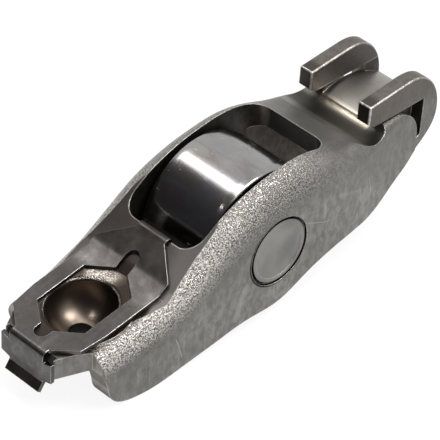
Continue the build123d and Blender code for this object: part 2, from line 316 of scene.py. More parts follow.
def buildHandlingFilm():
    # oil film and stains left by handling: wide soft clouds and a few finer marks
    s = filmShape
    group, given, result = newGroup(
        "handlingFilm",
        [("Size", "NodeSocketFloat", 0.006), ("Seed", "NodeSocketFloat", 0.0)],
        [("Cloud", "NodeSocketFloat"), ("Marks", "NodeSocketFloat")],
    )
    shift = joinVector(group, X=given.outputs["Seed"])
    moved = vectorMath(group, "ADD", objectPlace(group), shift)[0]
    scale = calc(group, "DIVIDE", 1.0, given.outputs["Size"])
    cloud = noise(group, moved, scale, 3.0, 0.55, 0.4)
    marks = noise(group, moved, times(group, scale, s["marksFineness"]), 4.0, 0.65, 1.2)
    group.links.new(ramp(group, cloud, *s["cloud"]), result.inputs["Cloud"])
    group.links.new(ramp(group, marks, *s["marks"]), result.inputs["Marks"])
    return group


scratchShape = dict(
    lines=(0.52, 0.7),              # noise values at a hairline's edge and its middle
    breaks=(0.4, 0.62),
    breakScale=420.0,
    height=0.000003,
)


def buildFineScratches():
    # hairlines along one direction, cut up by a second noise so that they start and stop
    s = scratchShape
    group, given, result = newGroup(
        "fineScratches",
        [
            ("Stretch", "NodeSocketVector", (1.0, 1.0, 1.0)),
            ("Turn", "NodeSocketVector", (0.0, 0.0, 0.0)),
        ],
        [("Lines", "NodeSocketFloat"), ("Height", "NodeSocketFloat")],
    )
    place = objectPlace(group)
    drawnOut = mapped(group, place, rotation=given.outputs["Turn"], scale=given.outputs["Stretch"])
    streaks = noise(group, drawnOut, 1.0, 3.0, 0.6)
    breaks = noise(group, place, s["breakScale"], 2.0, 0.5)
    lines = times(group, ramp(group, streaks, *s["lines"]), ramp(group, breaks, *s["breaks"]))
    group.links.new(lines, result.inputs["Lines"])
    group.links.new(times(group, streaks, s["height"]), result.inputs["Height"])
    return group


bendShape = dict(
    longX=(-0.0182, -0.0131),       # x over which the slope grows, and its degrees at both ends
    longSlope=(9.1, 25.0),
    lastX=(-0.0136, -0.0131),       # x over which the last of the slope is added
    lastSlope=(0.0, 9.2),
    startX=(-0.0184, -0.0178),      # x over which the effect comes in, and over which it goes
    endX=(-0.0103, -0.0112),
    aboveZ=(-0.0016, -0.0012),      # z over which it comes in, so that the bowl is left alone
    level=(0.10, 0.03),             # only faces whose normal has little sideways
    upwards=(0.78, 0.81),           # and much upwards
)


def buildEasedBend():
    # makes the bend between seat and ramp look wider: the slope of the normal grows smoothly along x
    s = bendShape
    group, given, result = newGroup(
        "easedBend",
        [("Normal", "NodeSocketVector", (0.0, 0.0, 1.0))],
        [("Normal", "NodeSocketVector")],
    )
    x, y, z = splitVector(group, objectPlace(group))
    nx, ny, nz = splitVector(group, given.outputs["Normal"])
    longPart = ramp(group, x, *s["longX"], *map(radians, s["longSlope"]))
    lastPart = ramp(group, x, *s["lastX"], *map(radians, s["lastSlope"]))
    slope = plus(group, longPart, lastPart)
    eased = joinVector(
        group,
        X=times(group, calc(group, "SINE", slope), -1.0),
        Z=calc(group, "COSINE", slope),
    )
    sideways = calc(group, "ABSOLUTE", ny)
    level = times(group, ramp(group, sideways, *s["level"]), ramp(group, nz, *s["upwards"]))
    within = times(group, ramp(group, x, *s["startX"]), ramp(group, x, *s["endX"]))
    within = times(group, within, ramp(group, z, *s["aboveZ"]))
    blend = group.nodes.new("ShaderNodeMix")
    blend.data_type = "VECTOR"
    feed(group, blend.inputs["Factor"], times(group, level, within))
    feed(group, blend.inputs[4], given.outputs["Normal"])
    feed(group, blend.inputs[5], eased)
    group.links.new(blend.outputs[1], result.inputs["Normal"])
    return group


rimShape = dict(
    innerRadius=(0.0036, 0.0038),   # radii round the pivot over which the collar comes in, and goes
    outerRadius=(0.0070, 0.0062),
    upwards=(0.7, 0.9),             # only faces that look up
    behindTurn=20,                  # degrees from x, the direction that counts as behind the bowl
    behind=(0.87, 0.985),           # cosine of the angle off that direction
)


def buildDishedRim():
    # the seat dips towards the ball: its normal leans inwards over a collar round the bowl
    s = rimShape
    group, given, result = newGroup(
        "dishedRim",
        [
            ("Normal", "NodeSocketVector", (0.0, 0.0, 1.0)),
            ("Pivot", "NodeSocketVector", (0.0, 0.0, 0.0)),
            ("Lean", "NodeSocketFloat", 0.4),
        ],
        [("Normal", "NodeSocketVector"), ("Collar", "NodeSocketFloat"), ("Behind", "NodeSocketFloat")],
    )
    inwards = vectorMath(group, "SUBTRACT", given.outputs["Pivot"], objectPlace(group))[0]
    x, y, z = splitVector(group, inwards)
    up = splitVector(group, given.outputs["Normal"])[2]
    radius = planRadius(group, x, y)
    collar = times(
        group,
        ramp(group, radius, *s["innerRadius"]),
        ramp(group, radius, *s["outerRadius"]),
        ramp(group, up, *s["upwards"]),
    )
    size = calc(group, "DIVIDE", times(group, collar, given.outputs["Lean"]), radius)
    lean = joinVector(group, X=times(group, x, size), Y=times(group, y, size))
    total = vectorMath(group, "ADD", given.outputs["Normal"], lean)[0]
    group.links.new(vectorMath(group, "NORMALIZE", total)[0], result.inputs["Normal"])
    group.links.new(collar, result.inputs["Collar"])
    turn = radians(s["behindTurn"])
    facing = plus(group, times(group, x, -cos(turn)), times(group, y, -sin(turn)))
    behind = ramp(group, calc(group, "DIVIDE", facing, radius), *s["behind"])
    group.links.new(behind, result.inputs["Behind"])
    return group


pressGrain = buildPressGrain()
easedBend = buildEasedBend()
dishedRim = buildDishedRim()
edgeWear = buildEdgeWear()
handlingFilm = buildHandlingFilm()
fineScratches = buildFineScratches()
print("shared effects built")


# body: pressed channel
# lengths are in metres, and a pair of them under X, Y, Z or Half is where a mask starts and where it is full
# of three, the first two bound a band and the third is its soft edge
# Half is the distance from mid-width, and near means the side at minus y

bodyFinish = dict(
    # colours
    # grain colours: a painted highlight along the crest of the shoulders, and painted shade towards the rear
    skinCrestHighlight=(0.640, 0.610, 0.565, 1.0),
    skin=(0.420, 0.403, 0.377, 1.0),
    rearSkinShade=(0.330, 0.316, 0.295, 1.0),
    skinDark=(0.080, 0.075, 0.069, 1.0),
    wall=(0.282, 0.272, 0.259, 1.0),
    wallDark=(0.158, 0.150, 0.140, 1.0),
    coined=(0.108, 0.100, 0.097, 1.0),
    coinedDark=(0.064, 0.057, 0.054, 1.0),
    coinedLit=(0.185, 0.172, 0.162, 1.0),
    valveEnd=(0.200, 0.190, 0.178, 1.0),
    valveEndDark=(0.115, 0.108, 0.099, 1.0),
    hook=(0.185, 0.170, 0.154, 1.0),
    hookDark=(0.085, 0.075, 0.064, 1.0),
    shadedHookInside=(0.050, 0.041, 0.033, 1.0),
    tip=(0.070, 0.058, 0.046, 1.0),
    # collar: painted light on its grainy part behind the bowl, collarShade as painted shade round the rest
    collar=(0.860, 0.790, 0.710, 1.0),
    collarDark=(0.110, 0.090, 0.073, 1.0),
    collarShade=(0.060, 0.047, 0.038, 1.0),
    pad=(0.300, 0.285, 0.260, 1.0),
    padHighlight=(0.86, 0.76, 0.60, 1.0),
    valley=(0.050, 0.044, 0.038, 1.0),
    litFrontEnd=(0.330, 0.315, 0.290, 1.0),
    # painted shade for the channel's inner faces
    inside=(0.070, 0.062, 0.055, 1.0),
    insideDark=(0.050, 0.043, 0.037, 1.0),
    shadedWindowEnd=(0.022, 0.018, 0.014, 1.0),
    bowl=(0.114, 0.092, 0.073, 1.0),
    wearAndHighlight=(0.70, 0.67, 0.62, 1.0),
    staking=(0.016, 0.014, 0.013, 1.0),
    # roughness
    plainRough=0.44,
    grainRough=0.25,
    padRough=0.27,
    filmRough=0.55,
    bowlRough=0.31,
    # grain and scratches
    grainSize=0.00015,
    grainDepth=0.000036,
    grainFull=0.0024,               # full grain down to this depth below the crest
    grainEndNose=0.0041,            # none past this one at the nose
    grainEnd=0.0060,                # nor past this one further back
    grainEndX=(-0.019, -0.007),     # x over which the one grows into the other
    grainOnBend=(0.02, 0.14),       # sideways share of the normal over which a shoulder's grain starts
    grainOnWebX=(-0.0085, -0.006),
    grainOnWeb=0.5,                 # share of grain on the web from there back
    thinGrainX=(0.002, 0.013),
    thinGrain=0.40,                 # share of grain left at the second of them, near the valve
    noseX=(-0.0231, -0.0227),
    wallGrain=(0.05, 0.16),         # share of grain on faces that look up, and on the walls
    scratchStretch=(1100.0, 900.0, 90.0),
    scratchTurn=(0.0, 0.22, 0.0),
    mottleScale=1500.0,
    mottle=(0.36, 0.66),            # noise values at which a spot starts and is full
    # bowl, its collar and its oil hole
    pivot=(-0.0197, 0.0, -0.00043),
    bowlRadius=0.0036,
    bowlFade=(0.00012, 0.00002),    # past the bowl's radius
    roundBowl=(0.0040, 0.0044),
    collarLean=0.42,                # how far the collar's normal leans towards the pivot
    collarGrainRadius=(0.0056, 0.0050),  # distance from the pivot
    holeRadius=0.00126,
    holeFade=0.00003,
    holeReach=(0.0050, 0.0045),     # distance from the pivot within which the hole is dark
    # groove round the staked axle, coloured with painted shade
    stakeRadii=(0.00350, 0.00401),
    stakeFade=0.00005,
    stakeShift=(-0.00012, -0.00004),  # moves the ring's centre, so that its painted shade is wider on the minus x side
    # seat and web
    # painted light on the seat's near side and painted shade on its far side
    seatLitY=(-0.0025, -0.0045),
    seatShadeY=(0.0020, 0.0040),
    seatEndX=(-0.009, -0.004),
    # the grain's painted highlight fades with depth below the crest, and painted shade comes in towards the
    # rear
    skinCrestHighlightDepth=(0.0012, 0.0032),  # depth below the crest over which the ridge's colour goes
    rearSkinShadeX=(-0.013, 0.001),
    creaseX=(-0.0150, -0.0080, 0.0010),
    creaseY=(-0.0030, -0.0036),
    underClipX=(-0.0158, -0.0120, 0.0003),
    underClipHalf=(0.0035, 0.0030),
    # walls
    nearWallY=(-0.005, -0.006),
    litFrontEndX=(-0.0219, -0.0223),
    litFrontEndHalf=(0.0035, 0.0045),
    shadedWindowEndX=(0.0110, 0.0150, 0.0003),
    shadedWindowEndHalf=(0.0056, 0.0050),
    shadedWindowEndZ=(0.0061, 0.0058),
    # hooks
    hookX=(0.0138, 0.0140),
    hookZ=(0.0061, 0.0062),
    hookShadeZ=(0.0040, 0.0074),
    tipX=(0.0165, 0.0155),
    tipHighlightX=(0.0162, 0.0152),
    slotX=(0.0152, 0.0160),
    slotY=(0.0, 0.001),
    slotZ=(0.0038, 0.0064, 0.0004),
    slotHalf=(0.0030, 0.0052, 0.0002),
    # pad, its painted highlight, and the painted shade of the valley
    padHalf=(0.0036, 0.0033),
    padZ=(0.0064, 0.0061),
    padX=(0.0158, 0.0165),
    padHighlightX=(0.0160, 0.0168, 0.0006),
    valleyX=(0.0142, 0.0158, 0.0010),
    # wear, and painted highlights along edges, hook rims, tips and the crease
    wearWidth=0.00016,
    edgeWorn=0.85,
    hookRimHighlight=0.45,
    creaseHighlight=0.7,
    wornScale=1400.0,
    wornBreaks=(0.32, 0.62, 0.35, 1.0),
    keptFromWear=0.8,               # share of wear taken off in the far slot and on the bowl's rim
    bowlRimRadius=(0.0046, 0.0040),  # distance from the pivot
    bowlRimX=(-0.0215, -0.0195),
)

# height of the crest along the body, as (x, z) in mm
crestLine = [
    (-27, -1.5), (-22.7, -0.75), (-16.5, 0.65), (-13.5, 1.5), (-10.2, 3.3), (-6.5, 5.7), (-2.9, 7.3),
    (0.8, 8.18), (4.2, 8.42), (7.2, 7.85), (10.0, 6.8), (13.0, 5.98), (20.0, 5.75), (27.0, 5.5),
]

# creases and dents on the near wall, drawn as lines of painted highlight (light) and painted shade (dark):
# start and end as (x, z) in mm, half width in mm, how strong, dark or light
wallMarks = [
    ((13.74, 1.40), (14.14, 0.29), 0.10, 0.55, "dark"),
    ((14.14, 0.29), (14.41, -0.87), 0.10, 0.55, "dark"),
    ((13.92, 1.38), (14.55, -0.80), 0.08, 0.35, "light"),
    ((3.70, 1.48), (6.91, 0.04), 0.10, 0.22, "light"),
    ((6.91, 0.04), (11.5, -0.4), 0.08, 0.12, "light"),
    ((-13.98, -3.51), (-13.54, -4.66), 0.09, 0.35, "light"),
    ((-13.54, -4.66), (-13.07, -6.22), 0.09, 0.35, "light"),
    ((-4.65, -2.41), (-5.85, -5.59), 0.55, 0.16, "light"),
    ((8.6, 2.4), (12.6, 0.6), 0.30, 0.10, "light"),
]


def crestHeight(tree, x):
    # the crest line as a curve, whose ends span 0..1 both ways
    node = tree.nodes.new("ShaderNodeFloatCurve")
    curve = node.mapping.curves[0]
    low, high, bottom, top = -27.0, 27.0, -2.0, 9.0
    points = [((px - low) / (high - low), (pz - bottom) / (top - bottom)) for px, pz in crestLine]
    for place, point in zip((0, 1), (points[0], points[-1])):
        curve.points[place].location = point
    for point in points[1:-1]:
        curve.points.new(*point)
    node.mapping.update()
    share = calc(tree, "DIVIDE", minus(tree, x, low * mm), (high - low) * mm)
    feed(tree, node.inputs["Value"], share)
    return plus(tree, times(tree, node.outputs["Value"], (top - bottom) * mm), bottom * mm)


def stroke(tree, x, z, start, end, halfWidth):
    # a soft line on a side wall from start to end, both (x, z) in mm: distance along it and across it
    dx, dz = (end[0] - start[0]) * mm, (end[1] - start[1]) * mm
    length = sqrt(dx * dx + dz * dz)
    ux, uz = dx / length, dz / length
    fromX = minus(tree, x, start[0] * mm)
    fromZ = minus(tree, z, start[1] * mm)
    along = plus(tree, times(tree, fromX, ux), times(tree, fromZ, uz))
    offset = minus(tree, times(tree, fromX, uz), times(tree, fromZ, ux))
    across = calc(tree, "ABSOLUTE", offset)
    core = halfWidth * 0.3
    return times(tree, band(tree, along, 0.0, length, halfWidth), ramp(tree, across, halfWidth, core))


def readBody(tree):
    # where a point is on the body and which way its face looks, and the masks that follow from that
    f = bodyFinish
    at = SimpleNamespace()
    at.place = objectPlace(tree)
    at.x, at.y, at.z = splitVector(tree, at.place)
    at.nx, at.ny, at.nz = splitVector(tree, faceNormal(tree))
    at.sideways = calc(tree, "ABSOLUTE", at.ny)
    at.half = calc(tree, "ABSOLUTE", at.y)
    at.depth = minus(tree, crestHeight(tree, at.x), at.z)
    # bowl: everything within the ball's radius of its centre
    at.fromPivot = vectorMath(tree, "DISTANCE", at.place, f["pivot"])["Value"]
    bowlLimits = [f["bowlRadius"] + extra for extra in f["bowlFade"]]
    at.inBowl = ramp(tree, at.fromPivot, *bowlLimits)
    at.onHook = times(tree, ramp(tree, at.x, *f["hookX"]), ramp(tree, at.z, *f["hookZ"]))
    # inner faces of the channel look towards mid-width or down
    at.inwards = times(tree, at.ny, calc(tree, "SIGN", at.y), -1.0)
    inner = times(tree, ramp(tree, at.inwards, 0.3, 0.7), without(tree, at.onHook))
    inner = larger(tree, inner, ramp(tree, at.nz, -0.05, -0.4))
    at.inside = times(tree, inner, ramp(tree, at.fromPivot, *f["roundBowl"]))
    at.outside = times(tree, without(tree, at.inside), without(tree, at.inBowl))
    spots = noise(tree, mapped(tree, at.place, scale=(1.0, 1.0, 0.6)), f["mottleScale"], 3.0, 0.6, 0.4)
    at.mottle = ramp(tree, spots, *f["mottle"])
    return at


def shoulderGrain(tree, at):
    # grain lies on the bent shoulders and fades out down the walls and towards the valve
    f = bodyFinish
    deepest = ramp(tree, at.x, *f["grainEndX"], f["grainEndNose"], f["grainEnd"])
    bent = ramp(tree, at.sideways, *f["grainOnBend"])
    bent = times(tree, bent, ramp(tree, at.depth, deepest, f["grainFull"]))
    onWeb = ramp(tree, at.x, *f["grainOnWebX"])
    onWeb = times(tree, onWeb, ramp(tree, at.nz, 0.5, 0.9, 0.0, f["grainOnWeb"]))
    towardsValve = ramp(tree, at.x, *f["thinGrainX"], 1.0, f["thinGrain"])
    return times(tree, larger(tree, bent, onWeb), towardsValve, ramp(tree, at.x, *f["noseX"]), at.outside)


def topColour(tree, at, film):
    # the coined seat, with painted light on the near side and painted shade on the far, then the web near the
    # valve
    f = bodyFinish
    seat = mixColour(tree, film["Cloud"], f["coined"], f["coinedDark"])
    seat = mixColour(tree, ramp(tree, at.y, *f["seatLitY"], 0.0, 0.6), seat, f["coinedLit"])
    seat = mixColour(tree, ramp(tree, at.y, *f["seatShadeY"], 0.0, 0.5), seat, f["insideDark"])
    valveEnd = mixColour(tree, film["Cloud"], f["valveEnd"], f["valveEndDark"])
    return mixColour(tree, ramp(tree, at.x, *f["seatEndX"]), seat, valveEnd)


def wallColour(tree, at, film, scratches):
    f = bodyFinish
    wall = mixColour(tree, times(tree, film["Cloud"], 0.6), f["wall"], f["wallDark"])
    wall = mixColour(tree, times(tree, at.mottle, 0.9), wall, f["wallDark"])
    wall = mixColour(tree, times(tree, scratches["Lines"], 0.17), wall, f["wearAndHighlight"])
    nearWall = times(tree, turnedTo(tree, times(tree, at.ny, -1.0)), ramp(tree, at.y, *f["nearWallY"]))
    # creases and dents: painted highlight along the light lines, painted shade along the dark ones
    for start, end, halfWidth, strength, tone in wallMarks:
        mark = times(tree, stroke(tree, at.x, at.z, start, end, halfWidth * mm), nearWall)
        mark = times(tree, mark, ramp(tree, at.mottle, 0.0, 0.8, 0.5 * strength, strength))
        wall = mixColour(tree, mark, wall, f["wearAndHighlight"] if tone == "light" else f["collarShade"])
    return wall


def paintHooks(tree, at, base, film, speckle):
    f = bodyFinish
    stains = larger(tree, film["Marks"], times(tree, speckle, 3.0))
    hook = mixColour(tree, stains, f["hook"], f["hookDark"])
    hook = mixColour(tree, times(tree, ramp(tree, at.mottle, 0.2, 0.9), 0.45), hook, f["hookDark"])
    hookShade = times(tree, ramp(tree, at.x, *f["hookX"]), ramp(tree, at.z, *f["hookShadeZ"]))
    base = mixColour(tree, hookShade, base, hook)
    # the free ends of the hooks, cut square and left brown
    tipFace = times(tree, at.onHook, turnedFrom(tree, at.nx, low=0.55), ramp(tree, at.x, *f["tipX"]))
    tipColour = mixColour(tree, times(tree, film["Marks"], 0.8), f["tip"], f["hook"])
    base = mixColour(tree, tipFace, base, tipColour)
    # painted shade on the faces of the hooks that look at each other
    shadedHookInside = times(tree, at.onHook, turnedTo(tree, at.inwards))
    return mixColour(tree, times(tree, shadedHookInside, 0.9), base, f["shadedHookInside"])


def paintEnds(tree, at, base):
    # front ends of the walls with painted light, the channel's inside with painted shade, and painted shade
    # on the face that ends the roller window
    f = bodyFinish
    # painted light on the front ends of the walls
    litFrontEnd = times(tree, turnedFrom(tree, at.nx), ramp(tree, at.x, *f["litFrontEndX"]))
    litFrontEnd = times(tree, litFrontEnd, ramp(tree, at.half, *f["litFrontEndHalf"]))
    litFrontEnd = times(tree, litFrontEnd, ramp(tree, at.mottle, 0.0, 1.0, 1.0, 0.6))
    base = mixColour(tree, litFrontEnd, base, f["litFrontEnd"])
    # painted shade on the channel's inner faces
    inside = mixColour(tree, ramp(tree, at.mottle, 0.15, 0.85), f["inside"], f["insideDark"])
    base = mixColour(tree, at.inside, base, inside)
    # painted shade on the face that ends the roller window
    shadedWindowEnd = times(tree, turnedFrom(tree, at.nx), band(tree, at.x, *f["shadedWindowEndX"]))
    shadedWindowEnd = times(tree, shadedWindowEnd, ramp(tree, at.half, *f["shadedWindowEndHalf"]))
    shadedWindowEnd = times(tree, shadedWindowEnd, ramp(tree, at.z, *f["shadedWindowEndZ"]))
    return mixColour(tree, times(tree, shadedWindowEnd, 0.9), base, f["shadedWindowEnd"])


def paintPad(tree, at, base):
    # the pad, worn by the valve stem, a painted highlight on its front edge, and painted shade in the valley
    # ahead of it
    f = bodyFinish
    between = times(tree, ramp(tree, at.half, *f["padHalf"]), ramp(tree, at.z, *f["padZ"]), at.outside)
    onPad = times(tree, between, ramp(tree, at.x, *f["padX"]))
    padHighlight = times(tree, between, band(tree, at.x, *f["padHighlightX"]))
    inValley = times(tree, band(tree, at.x, *f["valleyX"]), at.outside, ramp(tree, at.sideways, 0.6, 0.3))
    base = mixColour(tree, onPad, base, f["pad"])
    # painted highlight on the pad's front edge
    base = mixColour(tree, times(tree, padHighlight, 0.70), base, f["padHighlight"])
    # painted shade in the valley ahead of the pad
    base = mixColour(tree, times(tree, inValley, 0.95), base, f["valley"])
    return base, onPad


def wearAndEdgeHighlights(tree, at, edge):
    # where steel is worn bright at edges, with painted highlights along the hooks' rounded edges, their tips
    # and the crease beside the web, broken up by a noise
    f = bodyFinish
    rounded = times(tree, ramp(tree, at.sideways, 0.18, 0.4), ramp(tree, at.sideways, 0.95, 0.8))
    hookHighlight = times(tree, at.onHook, rounded, f["hookRimHighlight"])
    worn = larger(tree, times(tree, edge["Edge"], f["edgeWorn"]), hookHighlight)
    # crease: the step from the coined web up to the near shoulder, with a painted highlight along it
    crease = times(tree, edge["Crease"], band(tree, at.x, *f["creaseX"]), at.outside)
    crease = times(tree, crease, ramp(tree, at.y, *f["creaseY"]), ramp(tree, at.sideways, 0.5, 0.3))
    worn = larger(tree, worn, times(tree, crease, f["creaseHighlight"]))
    tipTurn = times(tree, ramp(tree, at.nx, -0.2, -0.4), ramp(tree, at.nx, -0.95, -0.85))
    tipHighlight = times(tree, at.onHook, tipTurn, ramp(tree, at.x, *f["tipHighlightX"]))
    worn = larger(tree, worn, times(tree, tipHighlight, f["edgeWorn"]))
    worn = times(tree, worn, ramp(tree, noise(tree, at.place, f["wornScale"], 3.0, 0.6), *f["wornBreaks"]))
    # little or none under the clip, down in the slot under the far hook, and on the bowl's rim
    underClip = times(tree, band(tree, at.x, *f["underClipX"]), ramp(tree, at.half, *f["underClipHalf"]))
    inSlot = times(tree, band(tree, at.z, *f["slotZ"]), band(tree, at.half, *f["slotHalf"]))
    inSlot = times(tree, inSlot, ramp(tree, at.x, *f["slotX"]), ramp(tree, at.y, *f["slotY"]))
    bowlRim = times(tree, ramp(tree, at.fromPivot, *f["bowlRimRadius"]), ramp(tree, at.x, *f["bowlRimX"]))
    worn = times(tree, worn, without(tree, underClip), without(tree, inSlot, f["keptFromWear"]))
    return times(tree, worn, without(tree, bowlRim, f["keptFromWear"]))


def paintBody():
    f = bodyFinish
    material, tree, shader = newMaterial("bodySteel")
    at = readBody(tree)
    film = useGroup(tree, handlingFilm, Size=0.007, Seed=0.4)
    scratches = useGroup(tree, fineScratches, Stretch=f["scratchStretch"], Turn=f["scratchTurn"])
    edge = useGroup(tree, edgeWear, Width=f["wearWidth"], Strength=1.0)
    # the collar round the bowl, which has the shoulders' grain behind the bowl, with painted light there and
    # painted shade round the rest
    dished = useGroup(tree, dishedRim, Normal=edge["Normal"], Pivot=f["pivot"], Lean=f["collarLean"])
    collar = times(tree, dished["Collar"], without(tree, at.inBowl))
    grainyLitCollar = times(tree, collar, dished["Behind"], ramp(tree, at.fromPivot, *f["collarGrainRadius"]))
    grainMask = larger(tree, shoulderGrain(tree, at), times(tree, grainyLitCollar, 0.9))
    faintGrain = times(tree, at.outside, ramp(tree, at.sideways, 0.1, 0.9, *f["wallGrain"]))
    amount = larger(tree, grainMask, faintGrain)
    grain = useGroup(tree, pressGrain, Size=f["grainSize"], Depth=f["grainDepth"], Amount=amount)
    # colour, from the plain faces to the worn edges
    top = topColour(tree, at, film)
    wall = wallColour(tree, at, film, scratches)
    base = mixColour(tree, ramp(tree, at.sideways, 0.35, 0.8), top, wall)
    base = paintHooks(tree, at, base, film, grain["Speckle"])
    base = paintEnds(tree, at, base)
    base, onPad = paintPad(tree, at, base)
    # painted highlight: the grain is coloured lightest along the crest, then darker towards the rear as
    # painted shade
    crestHighlight = mixColour(tree, ramp(tree, at.depth, *f["skinCrestHighlightDepth"]), f["skinCrestHighlight"], f["skin"])
    skin = mixColour(tree, ramp(tree, at.x, *f["rearSkinShadeX"]), crestHighlight, f["rearSkinShade"])
    grainColour = mixColour(tree, grain["Speckle"], f["skinDark"], skin)
    base = mixColour(tree, grainMask, base, grainColour)
    # painted light on the grainy collar behind the bowl, painted shade round the rest
    collarLightAndShade = mixColour(tree, grain["Speckle"], f["collarDark"], f["collar"])
    collarLightAndShade = mixColour(tree, grainyLitCollar, f["collarShade"], collarLightAndShade)
    base = mixColour(tree, collar, base, collarLightAndShade)
    base = mixColour(tree, times(tree, film["Marks"], 0.25), base, f["skinDark"])
    # groove round the staked axle: a ring of painted shade between the axle and the wall
    shiftX, shiftZ = f["stakeShift"]
    stakeRadius = planRadius(tree, minus(tree, at.x, shiftX), minus(tree, at.z, shiftZ))
    inner, outer = f["stakeRadii"]
    innerSide = ramp(tree, stakeRadius, inner - f["stakeFade"], inner)
    outerSide = ramp(tree, stakeRadius, outer, outer - f["stakeFade"])
    base = mixColour(tree, times(tree, innerSide, outerSide), base, f["staking"])
    # the bowl, and painted shade in its oil hole
    base = mixColour(tree, at.inBowl, base, f["bowl"])
    fromHole = planRadius(tree, minus(tree, at.x, f["pivot"][0]), at.y)
    hole = ramp(tree, fromHole, f["holeRadius"], f["holeRadius"] - f["holeFade"])
    hole = times(tree, hole, ramp(tree, at.fromPivot, *f["holeReach"]))
    base = mixColour(tree, hole, base, f["staking"])
    # edge wear, with painted highlights along edges, hook rims, tips and the crease
    base = mixColour(tree, wearAndEdgeHighlights(tree, at, edge), base, f["wearAndHighlight"])
    rough = mixValue(tree, grainMask, f["plainRough"], f["grainRough"])
    rough = mixValue(tree, onPad, rough, f["padRough"])
    rough = mixValue(tree, times(tree, film["Cloud"], 0.3), rough, f["filmRough"])
    rough = mixValue(tree, at.inBowl, rough, f["bowlRough"])
    plain = times(tree, scratches["Height"], without(tree, larger(tree, grainMask, at.inBowl)))
    height = plus(tree, grain["Height"], plain)
    normal = useGroup(tree, easedBend, Normal=dished["Normal"])["Normal"]
    finishSteel(tree, shader, base, rough, height, normal)
    return material


# retaining clip: dark spring steel

clipFinish = dict(
    steel=(0.078, 0.073, 0.070, 1.0),
    steelLight=(0.108, 0.101, 0.097, 1.0),
    # the ramp's colours are darker than the flat part's: painted shade
    ramp=(0.040, 0.035, 0.031, 1.0),
    rampLight=(0.098, 0.089, 0.081, 1.0),
    stain=(0.036, 0.031, 0.030, 1.0),
    lip=(0.130, 0.122, 0.118, 1.0),
    tab=(0.120, 0.098, 0.095, 1.0),
    wearAndHighlight=(0.62, 0.61, 0.60, 1.0),
    rough=(0.27, 0.40),             # on clean steel, and where it is stained
    rampX=(-0.0135, -0.0130),       # where the flat part turns up into the ramp
    lipZ=(-0.0042, -0.0036),
    tabZ=(-0.0042, -0.0048),
    spotScale=1700.0,
    spots=(0.40, 0.68),
    farCornerX=(-0.0150, -0.0140),
    farCornerY=(0.0005, 0.0020),
    worn=(0.75, 0.10),              # share of edge wear, and what is left of it at the far corner
)


def paintClip():
    f = clipFinish
    material, tree, shader = newMaterial("clipSteel")
    film = useGroup(tree, handlingFilm, Size=0.0045, Seed=2.1)
    mottle = useGroup(tree, handlingFilm, Size=0.0016, Seed=3.3)
    scratches = useGroup(tree, fineScratches, Stretch=(120.0, 1500.0, 120.0), Turn=(0.0, 0.0, 0.05))
    edge = useGroup(tree, edgeWear, Width=0.00012, Strength=1.0)
    place = objectPlace(tree)
    x, y, z = splitVector(tree, place)
    nx = splitVector(tree, faceNormal(tree))[0]
    flat = mixColour(tree, film["Cloud"], f["steel"], f["steelLight"])
    # painted shade: the ramp is coloured darker than the flat part
    shadedSlope = mixColour(tree, film["Cloud"], f["ramp"], f["rampLight"])
    base = mixColour(tree, ramp(tree, x, *f["rampX"]), flat, shadedSlope)
    lip = times(tree, turnedFrom(tree, nx), ramp(tree, z, *f["lipZ"]))
    base = mixColour(tree, lip, base, f["lip"])
    tab = times(tree, turnedFrom(tree, nx), ramp(tree, z, *f["tabZ"]))
    base = mixColour(tree, tab, base, f["tab"])
    spots = ramp(tree, noise(tree, place, f["spotScale"], 3.0, 0.6, 0.5), *f["spots"])
    for mask, share in ((spots, 0.30), (mottle["Cloud"], 0.35), (mottle["Marks"], 0.4)):
        base = mixColour(tree, times(tree, mask, share), base, f["stain"])
    base = mixColour(tree, times(tree, scratches["Lines"], 0.06), base, f["wearAndHighlight"])
    # edge wear with a painted highlight along the edges, less at the far corner
    farCorner = times(tree, ramp(tree, x, *f["farCornerX"]), ramp(tree, y, *f["farCornerY"]))
    worn = times(tree, edge["Edge"], mixValue(tree, farCorner, *f["worn"]))
    base = mixColour(tree, worn, base, f["wearAndHighlight"])
    rough = mixValue(tree, mottle["Cloud"], *f["rough"])
    normal = useGroup(tree, easedBend, Normal=edge["Normal"])["Normal"]
    finishSteel(tree, shader, base, rough, scratches["Height"], normal)
    return material


# axle: turned ends

axleFinish = dict(
    steel=(0.265, 0.262, 0.250, 1.0),
    dark=(0.150, 0.150, 0.143, 1.0),
    groove=(0.016, 0.014, 0.013, 1.0),
    wearAndHighlight=(0.50, 0.49, 0.47, 1.0),
    rough=(0.42, 0.5),              # on clean steel, and under the film
    ringPitch=0.00016,
    ringHeight=0.0000004,
    rim=(0.00353, 0.00356),         # radius where the end face gives way to the groove
)


def paintAxle():
    f = axleFinish
    material, tree, shader = newMaterial("axleSteel")
    x, y, z = splitVector(tree, objectPlace(tree))
    radius = planRadius(tree, x, z)
    rings = calc(tree, "SINE", times(tree, radius, 2 * pi / f["ringPitch"]))
    film = useGroup(tree, handlingFilm, Size=0.005, Seed=5.3)
    edge = useGroup(tree, edgeWear, Width=0.00014, Strength=1.0)
    base = mixColour(tree, times(tree, film["Cloud"], 0.7), f["steel"], f["dark"])
    base = mixColour(tree, times(tree, film["Marks"], 0.3), base, f["dark"])
    # worn edges with a painted highlight
    base = mixColour(tree, times(tree, edge["Edge"], 0.7), base, f["wearAndHighlight"])
    # painted shade in the groove round the end face
    base = mixColour(tree, ramp(tree, radius, *f["rim"]), base, f["groove"])
    rough = mixValue(tree, film["Cloud"], *f["rough"])
    finishSteel(tree, shader, base, rough, times(tree, rings, f["ringHeight"]), edge["Normal"])
    return material


# cam roller and needles: ground bearing steel

